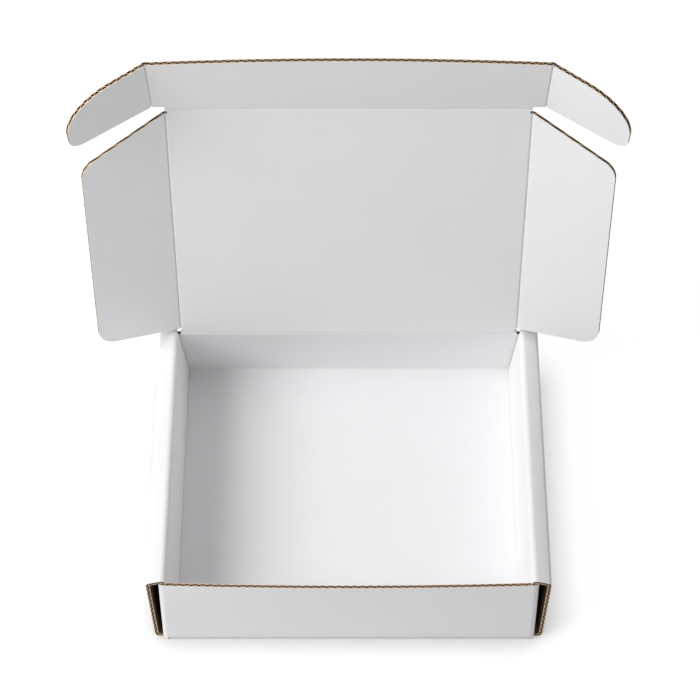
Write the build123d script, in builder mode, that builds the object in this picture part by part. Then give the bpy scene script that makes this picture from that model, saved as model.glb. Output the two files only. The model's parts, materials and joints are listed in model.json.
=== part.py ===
"""A corrugated mailer box, folded from one die-cut sheet and standing open.

The tray is one folded piece: floor, front and back panels with corner tabs, and double
side walls that roll over the tabs and come back down inside. Six flaps turn on creases:
the lid, its two side wings, its front tuck and the tuck's two rounded ears, which slide
into the slots at the front ends of the side walls.

Frame: origin at the middle of the underside, +Z up, the lid's crease towards +Y.
Lengths are millimetres, angles degrees.
"""

import os
from math import cos, radians, sin, tan

from build123d import *

# Board
board = 3.0                 # thickness of the corrugated board
fold_radius = 2.5           # middle line of a folded corner
crease_gap = 0.3            # play at a crease that moves
clearance = 0.4             # play between layers that lie side by side

# Tray
tray_depth = 280.0          # outside, front to back, at the floor
front_width = 306.0         # outside, over the corner tabs
front_height = 79.0
side_rise = 4.0             # the roll-over tops stand this far above the lid crease
roll_fall = 4.5             # the outer edge of a roll-over top lies below its inner edge
side_inset = 3.4            # the side walls start this far behind the front face
slot_foot = 3.8             # ear slot between a corner tab and the outer wall, at the floor
slot_head = 7.0             # the same slot at the top
tab_play = 0.3              # between a corner tab and the inner wall, at the top
inner_lean = 4.5            # the inner wall's foot stands in from its top
back_lean = 14.5            # the open lid draws the back panel forwards
tab_length = 72.0
tab_round = 14.0
tab_lift = 4.0              # underside of the corner tabs above the table

# Lid and its flaps
lid_seat = 0.5              # the shut lid lies this far above the front panel
lid_angle = 95.0            # 0 is shut, 90 stands upright
wing_lift = 8.5             # the folded wings end this far above the table
wing_angle = 23.0           # folded in from the plane of the lid
wing_start = 6.0            # lowest point of a wing above the lid crease
wing_stop = 5.0             # highest point of a wing below the tuck crease
wing_back_slope = 8.5
wing_front_slope = 26.0
wing_round = 17.0
tuck_lift = 4.0             # the shut tuck ends this far above the table
tuck_angle = 22.5           # folded down from the plane of the lid
tuck_play = 2.0             # the shut tuck's middle plane in front of the tray
ear_width = 72.0
ear_angle = 31.0            # folded back from the plane of the tuck
ear_notch = 4.0             # cut between an ear and the tuck crease
ear_drop = 6.5              # fall of an ear's outer edge across its width
ear_tip_round = 12.0
ear_round = 46.0

# Places worked out from the sizes above
half_board = board / 2
half_depth = tray_depth / 2
half_width = front_width / 2
wall_line = half_depth - half_board
tab_line = half_width - half_board
crease_root = half_board + crease_gap
hinge_height = front_height + lid_seat + half_board
side_height = hinge_height + side_rise
slant = radians(back_lean)
hinge_y = wall_line - (hinge_height - half_board) * tan(slant)

# Middle planes of the side walls, from the middle of the box
outer_foot = half_width + slot_foot + half_board
outer_head = half_width + slot_head + half_board
inner_head = tab_line - half_board - tab_play - half_board
inner_foot = inner_head - inner_lean

lid_length = hinge_y + half_depth + tuck_play
wing_crease = inner_head - board - clearance
wing_width = hinge_height - wing_lift
tuck_length = hinge_height - tuck_lift
ear_crease = half_width + clearance + half_board


def flap_plane(origin, turn, side=0, fold=0.0):
    """A flap's middle plane: local Y runs up the lid, local X along or away from the crease."""
    up = Vector(0, -cos(radians(turn)), sin(radians(turn)))
    inward = Vector(1, 0, 0).cross(up)
    out = Vector(1, 0, 0)
    if side:
        out = Vector(side, 0, 0) * cos(radians(fold)) + inward * sin(radians(fold))
    return Plane(origin=origin, x_dir=out, z_dir=out.cross(up))


def crease_bead(start, end):
    """The round edge that a flap turns about, from one point to another."""
    axis = end - start
    with BuildPart() as bead:
        with BuildSketch(Plane(origin=start, z_dir=axis)):
            Circle(half_board)
        extrude(amount=axis.length)
    return bead.part


hinge_line = Vector(0, hinge_y, hinge_height)
lid_plane = flap_plane(hinge_line, lid_angle)
tuck_line = hinge_line + lid_plane.y_dir * lid_length
tuck_plane = flap_plane(tuck_line, lid_angle - tuck_angle)

# ---------------------------------------------------------------- side walls

with BuildPart() as side_walls:
    # Section: edge of the floor, outer wall, roll-over top and inner wall
    with BuildSketch(Plane.XZ):
        with BuildLine():
            FilletPolyline(
                (inner_foot - half_board, half_board),
                (outer_foot, half_board),
                (outer_head, side_height - half_board - roll_fall),
                (inner_head, side_height - half_board),
                (inner_foot, board + clearance),
                radius=fold_radius,
            )
        trace(line_width=board)
    extrude(amount=half_depth - side_inset, both=True)
    mirror(about=Plane.YZ)
    # The inner walls end along the leaning back panel
    back_face = half_depth - board / cos(slant) - clearance
    with BuildSketch(Plane.YZ):
        with BuildLine():
            Polyline(
                (back_face - board * tan(slant), board + clearance / 2),
                (back_face - (side_height - board) * tan(slant), side_height - board),
                (half_depth, side_height - board),
                (half_depth, board + clearance / 2),
                close=True,
            )
        make_face()
    extrude(amount=tab_line - half_board, both=True, mode=Mode.SUBTRACT)

# ---------------------------------------------------------------- corner tabs


def corner_tab(foot, height):
    """A tab and its fold: the foot plane has X across the box and Y along the tab."""
    with BuildPart() as tab:
        with BuildSketch(foot):
            with BuildLine():
                FilletPolyline(
                    (tab_line - 2 * fold_radius, 0),
                    (tab_line, 0),
                    (tab_line, tab_length),
                    radius=fold_radius,
                )
            trace(line_width=board)
        extrude(amount=height)
        free_end = Axis(foot.origin, foot.y_dir)
        fillet(tab.faces().sort_by(free_end)[-1].edges().filter_by(Axis.X), tab_round)
    return tab.part


with BuildPart() as corner_tabs:
    front_foot = Plane(origin=(0, -wall_line, 0), x_dir=(1, 0, 0), z_dir=(0, 0, 1))
    back_up = Vector(0, -sin(slant), cos(slant))
    back_foot = Plane(origin=(0, wall_line, half_board), x_dir=(-1, 0, 0), z_dir=back_up)
    add(corner_tab(front_foot, front_height))
    add(corner_tab(back_foot, (hinge_height - half_board) / cos(slant) - board * tan(slant)))
    # Lift the tabs off the floor, but not their folds
    lift_length = 2 * (wall_line - fold_radius)
    with Locations((0, 0, tab_lift - tab_length)):
        Box(front_width, lift_length, 2 * tab_length, mode=Mode.SUBTRACT)
    mirror(about=Plane.YZ)

# ---------------------------------------------------------------- tray

with BuildPart() as tray:
    # Front panel, floor and back panel in one strip
    with BuildSketch(Plane.YZ):
        with BuildLine():
            FilletPolyline(
                (-wall_line, front_height),
                (-wall_line, half_board),
                (wall_line, half_board),
                (hinge_y, hinge_height),
                radius=fold_radius,
            )
        trace(line_width=board)
    extrude(amount=tab_line - fold_radius, both=True)
    add(crease_bead(hinge_line - Vector(wing_crease), hinge_line + Vector(wing_crease)))
    add(corner_tabs.part)
    add(side_walls.part)

# ---------------------------------------------------------------- lid

with BuildPart() as lid:
    with BuildSketch(lid_plane):
        with Locations((0, (crease_root + lid_length) / 2)):
            Rectangle(2 * wing_crease, lid_length - crease_root)
    extrude(amount=half_board, both=True)
    for side in (-1, 1):
        edge = hinge_line + Vector(side * wing_crease)
        first = edge + lid_plane.y_dir * wing_start
        last = edge + lid_plane.y_dir * (lid_length - wing_stop)
        add(crease_bead(first, last))
    add(crease_bead(tuck_line - Vector(wing_crease), tuck_line + Vector(wing_crease)))

# ---------------------------------------------------------------- wings


def wing(side):
    """A side flap of the lid, wider at its crease than at its rounded outer edge."""
    width = wing_width - crease_root
    low = wing_start + width * tan(radians(wing_back_slope))
    high = lid_length - wing_stop - width * tan(radians(wing_front_slope))
    origin = hinge_line + Vector(side * wing_crease)
    with BuildPart() as flap:
        with BuildSketch(flap_plane(origin, lid_angle, side, wing_angle)):
            with BuildLine():
                Polyline(
                    (crease_root, wing_start),
                    (crease_root, lid_length - wing_stop),
                    (wing_width, high),
                    (wing_width, low),
                    close=True,
                )
            make_face()
            fillet(vertices().group_by(Axis.X)[-1], wing_round)
        extrude(amount=half_board, both=True)
    return flap.part


left_wing = wing(-1)
right_wing = wing(1)

# ---------------------------------------------------------------- tuck and ears

with BuildPart() as tuck_flap:
    with BuildSketch(tuck_plane):
        with Locations((0, (ear_notch + tuck_length) / 2)):
            Rectangle(2 * ear_crease, tuck_length - ear_notch)
        with Locations((0, (crease_root + ear_notch) / 2)):
            Rectangle(2 * wing_crease, ear_notch - crease_root)
    extrude(amount=half_board, both=True)
    for side in (-1, 1):
        edge = tuck_line + Vector(side * ear_crease)
        first = edge + tuck_plane.y_dir * ear_notch
        last = edge + tuck_plane.y_dir * tuck_length
        add(crease_bead(first, last))


def ear(side):
    """A rounded lock at the end of the tuck, square at its crease and along its lower edge."""
    outer_end = tuck_length - ear_drop
    tip_room = outer_end - ear_notch - ear_tip_round - clearance
    origin = tuck_line + Vector(side * ear_crease)
    with BuildPart() as flap:
        with BuildSketch(flap_plane(origin, lid_angle - tuck_angle, side, ear_angle)):
            with BuildLine():
                Polyline(
                    (crease_root, ear_notch),
                    (crease_root, tuck_length),
                    (ear_width, outer_end),
                    (ear_width, ear_notch),
                    close=True,
                )
            make_face()
            fillet(vertices().group_by(Axis.X)[-1].sort_by(Axis.Y)[0], ear_tip_round)
            high_tip = vertices().sort_by_distance((ear_width, outer_end))[0]
            fillet(high_tip, min(ear_round, tip_room))
        extrude(amount=half_board, both=True)
    return flap.part


left_ear = ear(-1)
right_ear = ear(1)

# ---------------------------------------------------------------- files

os.makedirs("parts", exist_ok=True)

pieces = {
    "tray": tray.part,
    "lid": lid.part,
    "left_wing": left_wing,
    "right_wing": right_wing,
    "tuck_flap": tuck_flap.part,
    "left_ear": left_ear,
    "right_ear": right_ear,
}
for name, piece in pieces.items():
    piece.label = name
    export_step(piece, f"parts/{name}.step")
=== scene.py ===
"""An open corrugated mailer box: white-faced board with a fluted kraft core.

Each board is two thin liners on either side of a waved medium. The flaps are cut to the
outline of their CAD nodes, and the tray's boards are folded along its sections. At each
crease that moves, a narrow band of pressed board is drawn curved between its two boards.
"""

import json
import math

import bpy
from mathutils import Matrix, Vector


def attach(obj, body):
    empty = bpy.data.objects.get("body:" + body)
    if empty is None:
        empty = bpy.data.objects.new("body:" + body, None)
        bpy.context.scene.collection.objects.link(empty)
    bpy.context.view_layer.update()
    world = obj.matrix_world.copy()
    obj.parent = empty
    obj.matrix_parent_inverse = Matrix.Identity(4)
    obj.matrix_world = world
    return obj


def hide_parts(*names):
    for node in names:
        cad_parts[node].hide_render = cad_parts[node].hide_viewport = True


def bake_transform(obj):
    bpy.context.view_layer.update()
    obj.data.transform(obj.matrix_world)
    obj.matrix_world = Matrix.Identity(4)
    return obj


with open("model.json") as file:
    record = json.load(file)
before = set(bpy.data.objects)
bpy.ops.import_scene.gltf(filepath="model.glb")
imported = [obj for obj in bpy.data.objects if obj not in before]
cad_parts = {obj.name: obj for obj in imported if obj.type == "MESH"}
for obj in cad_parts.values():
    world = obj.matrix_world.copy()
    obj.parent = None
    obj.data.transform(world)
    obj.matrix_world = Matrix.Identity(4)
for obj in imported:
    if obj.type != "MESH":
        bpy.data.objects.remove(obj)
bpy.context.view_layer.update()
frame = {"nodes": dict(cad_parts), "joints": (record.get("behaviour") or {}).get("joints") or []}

# ---------------------------------------------------------------- sizes, in metres

board = 0.003
half_board = board / 2
liner = 0.00042             # thickness of a facing sheet
medium = 0.00038            # thickness of the waved sheet between the facings
flute_pitch = 0.0064
crease_root = 0.0018        # boards stop this far from the line of a crease that moves
groove = 0.0014             # depth of a pressed crease on the inner side

# The tray, as the CAD part has it
tray_depth = 0.280
front_width = 0.306
front_height = 0.079
side_inset = 0.0034
slot_foot = 0.0038
slot_head = 0.0070
tab_play = 0.0003
inner_lean = 0.0045
side_height = 0.085
roll_fall = 0.0045
clearance = 0.0004
tab_length = 0.072
tab_lift = 0.004
fold_radius = 0.0025
corner_lean = 0.0025        # the front panel's top corners lean in this far
lean_fade = 0.02            # the corner tabs lose that lean over this depth
slot_shade_from = 0.003           # beyond this depth a tab's outer side is painted dark brown, as the shade in its slot
tuck_length = 0.077
tuck_bow = 0.0035           # the tuck's outer edge bows back this far at its middle

# Spacing of the cuts that let a sheet bend or wave
wave_step = flute_pitch / 8
facing_step = 0.010
panel_step = 0.012

joints = {joint["name"]: joint for joint in frame["joints"]}


def pivot(joint):
    return Vector(joints[joint]["pos_m"])


def axis(joint):
    return Vector(joints[joint]["axis"]).normalized()


across = Vector((1, 0, 0))
hinge = pivot("lid_hinge")
tuck_line = pivot("tuck_fold")
wing_crease = pivot("right_wing_fold").x
ear_crease = pivot("right_ear_fold").x
lid_up = axis("left_wing_fold")
tuck_up = axis("left_ear_fold")

half_depth = tray_depth / 2
wall_line = half_depth - half_board
tab_line = front_width / 2 - half_board
strip_half = tab_line - fold_radius
outer_foot = front_width / 2 + slot_foot + half_board
outer_head = front_width / 2 + slot_head + half_board
inner_head = tab_line - half_board - tab_play - half_board
inner_foot = inner_head - inner_lean
back_up = (hinge - Vector((0, wall_line, half_board))).normalized()

# ---------------------------------------------------------------- materials


def paper_group():
    """Faint cloudiness and fibre grain for every paper surface."""
    group = bpy.data.node_groups.new("paper_grain", "ShaderNodeTree")
    sockets = group.interface
    sockets.new_socket("Color", in_out="INPUT", socket_type="NodeSocketColor")
    for name, value in (("Cloudiness", 0.03), ("Fibre", 0.02)):
        socket = sockets.new_socket(name, in_out="INPUT", socket_type="NodeSocketFloat")
        socket.default_value = value
    sockets.new_socket("Color", in_out="OUTPUT", socket_type="NodeSocketColor")
    sockets.new_socket("Roughness", in_out="OUTPUT", socket_type="NodeSocketFloat")
    sockets.new_socket("Height", in_out="OUTPUT", socket_type="NodeSocketFloat")
    nodes, link = group.nodes, group.links.new
    given = nodes.new("NodeGroupInput")
    made = nodes.new("NodeGroupOutput")
    place = nodes.new("ShaderNodeTexCoord")
    clouds = nodes.new("ShaderNodeTexNoise")
    clouds.inputs["Scale"].default_value = 28
    clouds.inputs["Detail"].default_value = 3
    fibres = nodes.new("ShaderNodeTexNoise")
    fibres.inputs["Scale"].default_value = 900
    fibres.inputs["Detail"].default_value = 2
    for texture in (clouds, fibres):
        link(place.outputs["Object"], texture.inputs["Vector"])

    def swing(texture, amount):
        """A factor around 1 that the texture moves by the given amount."""
        centred = nodes.new("ShaderNodeMath")
        centred.operation = "SUBTRACT"
        centred.inputs[1].default_value = 0.5
        link(texture.outputs["Fac"], centred.inputs[0])
        scaled = nodes.new("ShaderNodeMath")
        scaled.operation = "MULTIPLY_ADD"
        scaled.inputs[2].default_value = 1.0
        link(centred.outputs[0], scaled.inputs[0])
        link(given.outputs[amount], scaled.inputs[1])
        return scaled.outputs[0]

    both = nodes.new("ShaderNodeMath")
    both.operation = "MULTIPLY"
    link(swing(clouds, "Cloudiness"), both.inputs[0])
    link(swing(fibres, "Fibre"), both.inputs[1])
    tinted = nodes.new("ShaderNodeVectorMath")
    tinted.operation = "SCALE"
    link(given.outputs["Color"], tinted.inputs[0])
    link(both.outputs[0], tinted.inputs["Scale"])
    rough = nodes.new("ShaderNodeMapRange")
    rough.inputs["To Min"].default_value = 0.55
    rough.inputs["To Max"].default_value = 0.72
    link(clouds.outputs["Fac"], rough.inputs["Value"])
    link(tinted.outputs[0], made.inputs["Color"])
    link(rough.outputs["Result"], made.inputs["Roughness"])
    link(fibres.outputs["Fac"], made.inputs["Height"])
    return group


paper = paper_group()


def paper_material(name, color, cloudiness, fibre, bump):
    material = bpy.data.materials.new(name)
    material.use_nodes = True
    nodes, link = material.node_tree.nodes, material.node_tree.links.new
    shader = nodes["Principled BSDF"]
    shader.inputs["Specular IOR Level"].default_value = 0.25
    grain = nodes.new("ShaderNodeGroup")
    grain.node_tree = paper
    grain.inputs["Color"].default_value = (*color, 1)
    grain.inputs["Cloudiness"].default_value = cloudiness
    grain.inputs["Fibre"].default_value = fibre
    relief = nodes.new("ShaderNodeBump")
    relief.inputs["Strength"].default_value = bump
    relief.inputs["Distance"].default_value = 0.00004
    link(grain.outputs["Color"], shader.inputs["Base Color"])
    link(grain.outputs["Roughness"], shader.inputs["Roughness"])
    link(grain.outputs["Height"], relief.inputs["Height"])
    link(relief.outputs["Normal"], shader.inputs["Normal"])
    return material


white_face = paper_material("white_face", (0.88, 0.88, 0.89), 0.03, 0.02, 0.5)
# The liners' back faces and the waved medium are kraft brown darkened almost to black: painted
# shade in the flute cavities of the cut edges.
shaded_kraft_back = paper_material("shaded_kraft_back", (0.06, 0.033, 0.017), 0.15, 0.2, 0.8)
cut_rim = paper_material("cut_rim", (0.92, 0.70, 0.49), 0.10, 0.1, 0.8)
shaded_kraft_flute = paper_material("shaded_kraft_flute", (0.05, 0.027, 0.013), 0.15, 0.2, 0.8)
# Dark brown for the faces hidden in the slots, inside the roll-over walls and on the tabs' outer
# sides: painted shade, not the board's own colour.
painted_slot_shade = paper_material("painted_slot_shade", (0.16, 0.098, 0.062), 0.15, 0.2, 0.8)
papers = (white_face, shaded_kraft_back, cut_rim, shaded_kraft_flute, painted_slot_shade)
WHITE, BACK, RIM, FLUTE, SLOT_SHADE = range(5)

# ---------------------------------------------------------------- working by hand


def only(*objects):
    bpy.ops.object.select_all(action="DESELECT")
    for obj in objects:
        obj.select_set(True)
    bpy.context.view_layer.objects.active = objects[0]


def edit(obj):
    """Opens a mesh for editing with all of it selected."""
    only(obj)
    bpy.ops.object.mode_set(mode="EDIT")
    bpy.ops.mesh.select_mode(type="FACE")
    bpy.ops.mesh.select_all(action="SELECT")


def close():
    bpy.ops.object.mode_set(mode="OBJECT")


def turn_towards(sheet, direction):
    """Flips an open sheet whose first face points away from direction."""
    sheet.data.update()
    if sheet.data.polygons[0].normal.dot(direction) < 0:
        edit(sheet)
        bpy.ops.mesh.flip_normals()
        close()


def thicken(sheet, thickness, offset, face, back, rim):
    """Gives a sheet its thickness, with a material for its face, its back and its cut rim."""
    for material in papers:
        sheet.data.materials.append(material)
    for polygon in sheet.data.polygons:
        polygon.material_index = face
    only(sheet)
    solid = sheet.modifiers.new("thickness", "SOLIDIFY")
    solid.thickness = thickness
    solid.offset = offset
    solid.use_even_offset = True
    solid.material_offset = back - face
    solid.material_offset_rim = rim - face
    bpy.ops.object.modifier_apply(modifier=solid.name)


def finish_board(name, sheets, body, slot, *nodes):
    """Joins a board's sheets into one piece that stands for its CAD nodes."""
    only(*sheets)
    bpy.ops.object.join()
    piece = bpy.context.view_layer.objects.active
    piece.name = piece.data.name = name
    bpy.ops.object.shade_smooth_by_angle(angle=math.radians(30))
    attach(piece, body)
    if nodes:
        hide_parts(*nodes)
    return piece


# ---------------------------------------------------------------- flat flaps


def skin(node, normal, name):
    """A flat copy of the side of a CAD board that faces along normal."""
    sheet = bpy.data.objects.new(name, frame["nodes"][node].data.copy())
    sheet.data.materials.clear()
    bpy.context.collection.objects.link(sheet)
    edit(sheet)
    bpy.ops.mesh.remove_doubles(threshold=1e-6)
    bpy.ops.mesh.select_all(action="DESELECT")
    close()
    for polygon in sheet.data.polygons:
        polygon.select = polygon.normal.dot(normal) < 0.9999
    only(sheet)
    bpy.ops.object.mode_set(mode="EDIT")
    bpy.ops.mesh.delete(type="FACE")
    bpy.ops.mesh.select_all(action="SELECT")
    bpy.ops.mesh.dissolve_limited(angle_limit=math.radians(1))
    bpy.ops.mesh.customdata_custom_splitnormals_clear()
    close()
    return sheet


def trim(sheet, point, outward):
    """Cuts away all that lies beyond a plane."""
    edit(sheet)
    bpy.ops.mesh.bisect(plane_co=point, plane_no=outward, clear_outer=True)
    close()


def slice_up(sheet, direction, spacing):
    """Cuts a sheet across, evenly, so that it can be bent or waved along direction."""
    reach = [vertex.co.dot(direction) for vertex in sheet.data.vertices]
    count = math.floor(max(reach) / spacing) - math.ceil(min(reach) / spacing) + 1
    first = math.ceil(min(reach) / spacing)
    edit(sheet)
    for cut in range(count):
        bpy.ops.mesh.select_all(action="SELECT")
        bpy.ops.mesh.bisect(plane_co=direction * (first + cut) * spacing, plane_no=direction)
    close()


def wave(distance):
    """Height of the medium's middle line at a distance along the wave."""
    height = half_board - liner - medium / 2
    return height * math.sin(2 * math.pi * distance / flute_pitch)


def flap_board(node, inside, trims, wave_along, slot, bend=None):
    """A flap: its two facings and its medium, cut back along the creases it carries."""
    facings = []
    for side, normal in (("inner", inside), ("outer", -inside)):
        sheet = skin(node, normal, f"{node}_{side}")
        for point, outward in trims:
            trim(sheet, point, outward)
        facings.append(sheet)
    core = facings[0].copy()
    core.data = facings[0].data.copy()
    bpy.context.collection.objects.link(core)
    slice_up(core, wave_along, wave_step)
    for vertex in core.data.vertices:
        rise = wave(vertex.co.dot(wave_along)) - half_board
        vertex.co += inside * rise
    if bend:
        for sheet in facings:
            slice_up(sheet, across, panel_step)
            slice_up(sheet, tuck_up, facing_step)
        slice_up(core, tuck_up, facing_step)
        for sheet in (*facings, core):
            for vertex in sheet.data.vertices:
                vertex.co -= inside * bend(vertex.co)
    for sheet in facings:
        thicken(sheet, liner, -1, WHITE, BACK, RIM)
    thicken(core, medium, 0, FLUTE, FLUTE, RIM)
    return finish_board(f"{node}_board", [*facings, core], node, slot, node)


def broad_normal(node, towards):
    """Normal of a flat node's broad side, on the side that faces towards."""
    normal = max(frame["nodes"][node].data.polygons, key=lambda polygon: polygon.area).normal
    return normal.copy() if normal.dot(towards) > 0 else -normal


lid_inside = broad_normal("lid", Vector((0, -1, 0)))
tuck_inside = broad_normal("tuck_flap", Vector((0, -1, 0)))


def tuck_bend(point):
    """The tuck bows back towards the middle of its outer edge."""
    from_crease = (point - tuck_line).dot(tuck_up) / tuck_length
    return tuck_bow * max(0, 1 - (point.x / ear_crease) ** 2) * from_crease ** 2


lid_trims = [
    (Vector((side * (wing_crease - crease_root), 0, 0)), Vector((side, 0, 0)))
    for side in (-1, 1)
] + [(tuck_line - lid_up * crease_root, lid_up)]
flap_board("lid", lid_inside, lid_trims, across, "lid_board")

tuck_trims = [
    (Vector((side * (ear_crease - crease_root), 0, 0)), Vector((side, 0, 0)))
    for side in (-1, 1)
]
flap_board("tuck_flap", tuck_inside, tuck_trims, across, "tuck_board", tuck_bend)

for side, word in ((-1, "left"), (1, "right")):
    inwards = Vector((-side, -1, 0))
    wing_inside = broad_normal(f"{word}_wing", inwards)
    flap_board(f"{word}_wing", wing_inside, [], lid_up, "wing_board")
    ear_inside = broad_normal(f"{word}_ear", inwards)
    ear_across = tuck_up.cross(ear_inside)
    flap_board(f"{word}_ear", ear_inside, [], ear_across, "ear_board")

# ---------------------------------------------------------------- creases that move


def crease_band(name, start, end, to_parent, to_flap, inwards):
    """A pressed band of board, drawn curved between two boards about the line start-end."""
    line = (end - start).normalized()
    parent_inside = to_parent.cross(line)
    flap_inside = to_flap.cross(line)
    if parent_inside.dot(inwards) < 0:
        parent_inside.negate()
    if flap_inside.dot(inwards) < 0:
        flap_inside.negate()
    outer, inner = [], []
    steps = 10
    for step in range(steps + 1):
        share = 2 * step / steps - 1
        leg = to_flap * share if share > 0 else to_parent * -share
        normal = parent_inside.lerp(flap_inside, step / steps).normalized()
        middle = start + leg * crease_root
        pressed = half_board - groove * math.exp(-((share / 0.36) ** 2))
        outer.append(middle - normal * half_board)
        inner.append(middle + normal * pressed)
    outline = outer + inner[::-1]
    bpy.ops.object.select_all(action="DESELECT")
    bpy.ops.mesh.primitive_circle_add(vertices=len(outline), fill_type="NGON")
    band = bpy.context.object
    band.name = band.data.name = name
    for vertex, place in zip(band.data.vertices, outline):
        vertex.co = place
    edit(band)
    bpy.ops.mesh.extrude_region_move(TRANSFORM_OT_translate={"value": end - start})
    bpy.ops.mesh.select_all(action="SELECT")
    bpy.ops.mesh.normals_make_consistent(inside=False)
    close()
    for material in papers:
        band.data.materials.append(material)
    for polygon in band.data.polygons:
        # The band's two cut ends take the near-black back material: painted shade at the ends of
        # the crease.
        polygon.material_index = BACK if abs(polygon.normal.dot(line)) > 0.9 else WHITE
    only(band)
    bpy.ops.object.shade_smooth_by_angle(angle=math.radians(40))
    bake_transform(band)
    return band


side_line = across * wing_crease
crease_band("lid_crease", hinge - side_line, hinge + side_line, -back_up, lid_up,
            Vector((0, -1, 0)))
crease_band("tuck_crease", tuck_line - side_line, tuck_line + side_line, -lid_up, tuck_up,
            Vector((0, -1, 0)))
for side, word in ((-1, "left"), (1, "right")):
    inwards = Vector((-side, -1, 0))
    for flap, parent, line, up in (("wing", "lid", wing_crease, lid_up),
                                   ("ear", "tuck_flap", ear_crease, tuck_up)):
        node = f"{word}_{flap}"
        foot = pivot(f"{node}_fold")
        corners = [vertex.co - foot for vertex in frame["nodes"][node].data.vertices]
        root = [corner.dot(up) for corner in corners
                if (corner - up * corner.dot(up)).length < fold_radius]
        out = broad_normal(node, inwards).cross(up)
        if out.x * side < 0:
            out.negate()
        crease_band(f"{node}_crease", foot + up * min(root), foot + up * max(root),
                    Vector((-side, 0, 0)), out, inwards)

# ---------------------------------------------------------------- the tray


def walk(points, radius, spacing):
    """Stations (place, normal, distance) along a folded middle line, left side positive."""
    corners = [Vector(point) for point in points]
    stations = []
    travelled = 0.0
    start = corners[0]
    for number, corner in enumerate(corners[1:], 1):
        heading = (corner - corners[number - 1]).normalized()
        left = Vector((-heading.y, heading.x))
        turn = cut = 0.0
        if number + 1 < len(corners):
            following = (corners[number + 1] - corner).normalized()
            turn = math.atan2(heading.cross(following), heading.dot(following))
            cut = radius * math.tan(abs(turn) / 2)
        run = (corner - start).length - cut
        steps = math.ceil(run / spacing - 1e-6)
        for step in range(steps):
            ahead = run * step / steps
            stations.append((start + heading * ahead, left, travelled + ahead))
        travelled += run
        start = start + heading * run
        if turn:
            centre = start + left * math.copysign(radius, turn)
            spoke = start - centre
            steps = max(6, math.ceil(radius * abs(turn) / spacing))
            for step in range(steps):
                angle = turn * step / steps
                bent = Vector((spoke.x * math.cos(angle) - spoke.y * math.sin(angle),
                               spoke.x * math.sin(angle) + spoke.y * math.cos(angle)))
                facing = Vector((left.x * math.cos(angle) - left.y * math.sin(angle),
                                 left.x * math.sin(angle) + left.y * math.cos(angle)))
                stations.append((centre + bent, facing, travelled + radius * abs(angle)))
            bent = Vector((spoke.x * math.cos(turn) - spoke.y * math.sin(turn),
                           spoke.x * math.sin(turn) + spoke.y * math.cos(turn)))
            travelled += radius * abs(turn)
            start = centre + bent
        else:
            stations.append((corner, left, travelled))
    return stations


def lay(name, rows, columns, place):
    """A sheet with a row of vertices at each station and a column at each value across."""
    bpy.ops.object.select_all(action="DESELECT")
    bpy.ops.mesh.primitive_grid_add(x_subdivisions=len(columns) - 1,
                                    y_subdivisions=len(rows) - 1)
    sheet = bpy.context.object
    sheet.name = sheet.data.name = name
    for vertex in sheet.data.vertices:
        row, column = divmod(vertex.index, len(columns))
        vertex.co = place(rows[row], columns[column])
    return sheet


def folded_board(name, rows, columns, place, wave_rows, wave_columns, wave_of, shaded_in_slot=None):
    """Facings and medium of a folded board; place gives a point at a height off its middle.

    Where the given test is true of a station and a height, that facing is painted dark brown, as
    shade.
    """
    sheets = []
    for height in (half_board, -half_board):
        sheet = lay(name, rows, columns, lambda row, column: place(row, column, height))
        middle = place(rows[0], columns[0], 0)
        turn_towards(sheet, place(rows[0], columns[0], height) - middle)
        thicken(sheet, liner, -1, WHITE, BACK, RIM)
        for polygon in sheet.data.polygons:
            row = min(polygon.vertices) // len(columns)
            # Painted shade: the chosen facings turn dark brown instead of white.
            if shaded_in_slot and polygon.material_index == WHITE and shaded_in_slot(rows[row], height):
                polygon.material_index = SLOT_SHADE
        sheets.append(sheet)
    core = lay(name, wave_rows, wave_columns,
               lambda row, column: place(row, column, wave(wave_of(row, column))))
    thicken(core, medium, 0, FLUTE, FLUTE, RIM)
    return sheets + [core]


def spread(low, high, spacing):
    count = math.ceil((high - low) / spacing)
    return [low + (high - low) * step / count for step in range(count + 1)]


# Front panel, floor and back panel in one strip, with the flutes running along it
hinge_end = hinge - back_up * crease_root
strip_rows = walk([(-wall_line, front_height), (-wall_line, half_board),
                   (wall_line, half_board), (hinge_end.y, hinge_end.z)],
                  fold_radius, facing_step)


def leaning(x, z):
    """How far the front panel leans in; its top corners are drawn in by the side walls."""
    return corner_lean * (x / strip_half) ** 2 * (max(0, z) / front_height) ** 2


def strip_place(row, x, height):
    """A point of the strip, with the front panel leaning in towards its top corners."""
    place, normal, _ = row
    y, z = place + normal * height
    if place.x < -wall_line + fold_radius:
        y += leaning(x, z)
    return Vector((x, y, z))


tray_sheets = folded_board(
    "strip", strip_rows, spread(-strip_half, strip_half, panel_step), strip_place,
    strip_rows, spread(-strip_half, strip_half, wave_step), lambda row, x: x)

# Side walls: outer wall, roll-over top and inner wall, with the flutes running front to back
back_face = half_depth - board / back_up.z - clearance
wall_points = [(strip_half, half_board), (outer_foot, half_board),
               (outer_head, side_height - half_board - roll_fall),
               (inner_head, side_height - half_board),
               (inner_foot, board + clearance)]
wall_rows = walk(wall_points, fold_radius, facing_step)
wall_wave_rows = walk(wall_points, fold_radius, wave_step)

for side in (-1, 1):

    def wall_place(row, end, height):
        """A point of a side wall; the inner wall ends along the leaning back panel."""
        place, normal, _ = row
        x, z = place + normal * height
        y = end * (half_depth - side_inset)
        inner = place.x < tab_line - half_board and place.y > board
        if end > 0 and inner and place.y < side_height - board:
            y = back_face + place.y * back_up.y / back_up.z
        return Vector((side * x, y, z))

    # The wall faces inside the roll-over are painted dark brown, as shade.
    tray_sheets += folded_board("side_wall", wall_rows, [-1, 1], wall_place,
                                wall_wave_rows, [-1, 1], lambda row, end: row[2],
                                lambda row, height: height > 0)

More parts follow.
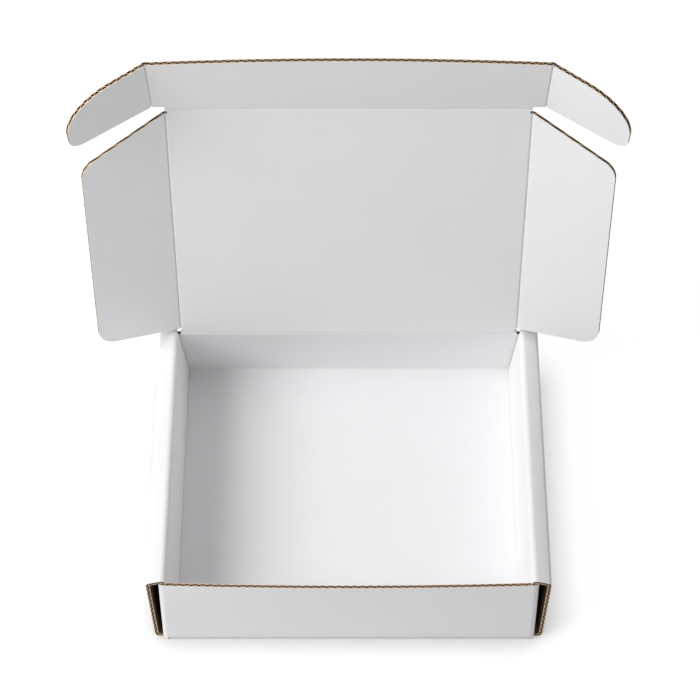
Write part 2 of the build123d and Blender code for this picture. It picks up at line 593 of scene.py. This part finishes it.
# Corner tabs: each panel's end folds back between the walls of the side
tab_points = [(strip_half, 0), (tab_line, 0), (tab_line, tab_length)]
tab_rows = walk(tab_points, fold_radius, facing_step)
tab_wave_rows = walk(tab_points, fold_radius, wave_step)

for side in (-1, 1):
    for end in (-1, 1):
        lean = back_up if end > 0 else Vector((0, 0, 1))
        top = hinge.z - board if end > 0 else front_height
        foot = Vector((0, end * wall_line, half_board if end > 0 else 0))
        inward = lean.cross(across) * -end

        def tab_place(row, rise, height):
            """A point of a tab, whose lower edge is lifted off the floor beyond its fold."""
            place, normal, _ = row
            x, depth = place + normal * height
            level = foot + inward * depth
            lift = tab_lift * min(1, max(0, place.y / fold_radius))
            bottom = (lift - level.z) / lean.z
            point = level + lean * (bottom + rise * (top / lean.z - bottom))
            point.x = side * x
            if end < 0:
                point.y += leaning(x, point.z) * math.exp(-depth / lean_fade)
            return point

        # Beyond a little depth, a tab's outer side is painted dark brown, as shade in its slot.
        tray_sheets += folded_board("tab", tab_rows, [0, 0.5, 1], tab_place,
                                    tab_wave_rows, [0, 0.5, 1],
                                    lambda row, rise: strip_half + row[2],
                                    lambda row, height: height < 0 and row[0].y > slot_shade_from)

finish_board("tray_board", tray_sheets, "tray", "tray_board", "tray")

# ---------------------------------------------------------------- studio


def seen_directly(nodes, link):
    """A factor of 1 where the camera sees a surface, itself, in a reflection or through glass."""
    rays = nodes.new("ShaderNodeLightPath")
    seen = rays.outputs["Is Camera Ray"]
    for kind in ("Is Glossy Ray", "Is Transmission Ray"):
        either = nodes.new("ShaderNodeMath")
        either.operation = "MAXIMUM"
        link(seen, either.inputs[0])
        link(rays.outputs[kind], either.inputs[1])
        seen = either.outputs[0]
    return seen


def studio_floor():
    """A pale floor that is seen as white, with a painted contact shadow where it meets the box.
    """
    bpy.ops.object.select_all(action="DESELECT")
    bpy.ops.mesh.primitive_plane_add(size=12)
    ground = bpy.context.object
    ground.name = "studio_floor"
    material = bpy.data.materials.new("pale_floor")
    material.use_nodes = True
    nodes, link = material.node_tree.nodes, material.node_tree.links.new
    shader = nodes["Principled BSDF"]
    shader.inputs["Roughness"].default_value = 0.9
    shader.inputs["Specular IOR Level"].default_value = 0
    shader.inputs["Emission Color"].default_value = (1, 1, 1, 1)
    seen = seen_directly(nodes, link)
    tint = nodes.new("ShaderNodeMix")
    tint.data_type = "RGBA"
    tint.inputs["A"].default_value = (0.86, 0.86, 0.86, 1)
    tint.inputs["B"].default_value = (0.32, 0.32, 0.32, 1)
    link(seen, tint.inputs["Factor"])
    # An ambient-occlusion node dims the floor's glow near the box: a painted contact shadow.
    painted_contact_shadow = nodes.new("ShaderNodeAmbientOcclusion")
    painted_contact_shadow.inputs["Distance"].default_value = 0.035
    lift = nodes.new("ShaderNodeMath")
    lift.operation = "MULTIPLY"
    link(painted_contact_shadow.outputs["AO"], lift.inputs[0])
    link(seen, lift.inputs[1])
    strength = nodes.new("ShaderNodeMath")
    strength.operation = "MULTIPLY"
    strength.inputs[1].default_value = 0.87
    link(lift.outputs[0], strength.inputs[0])
    link(tint.outputs["Result"], shader.inputs["Base Color"])
    link(strength.outputs[0], shader.inputs["Emission Strength"])
    ground.data.materials.append(material)


def studio_light(name, place, size, power):
    """A soft square lamp that looks at the middle of the box."""
    lamp = bpy.data.lights.new(name, "AREA")
    lamp.shape = "SQUARE"
    lamp.size = size
    lamp.energy = power
    stand = bpy.data.objects.new(name, lamp)
    stand.location = place
    aim = Vector((0, 0, 0.1)) - stand.location
    stand.rotation_euler = aim.to_track_quat("-Z", "Y").to_euler()
    bpy.context.collection.objects.link(stand)


def studio_world():
    """An even sky, seen as white."""
    world = bpy.data.worlds.new("studio")
    world.use_nodes = True
    nodes, link = world.node_tree.nodes, world.node_tree.links.new
    shade = nodes["Background"]
    seen = seen_directly(nodes, link)
    level = nodes.new("ShaderNodeMapRange")
    level.inputs["To Min"].default_value = 0.35
    level.inputs["To Max"].default_value = 1.0
    link(seen, level.inputs["Value"])
    link(level.outputs["Result"], shade.inputs["Strength"])
    shade.inputs["Color"].default_value = (1, 1, 1, 1)
    bpy.context.scene.world = world


def camera():
    lens = bpy.data.cameras.new("camera")
    lens.lens = 128.86
    view = bpy.data.objects.new("camera", lens)
    view.location = (0, -1.20235, 1.79094)
    view.rotation_euler = (math.radians(37.26), 0, 0)
    lens.shift_x = 0.0018
    bpy.context.collection.objects.link(view)
    bpy.context.scene.camera = view


studio_floor()
studio_world()
studio_light("key", (-1.38, -0.50, 1.50), 1.2, 33)
camera()
bpy.context.scene.view_settings.view_transform = "Standard"
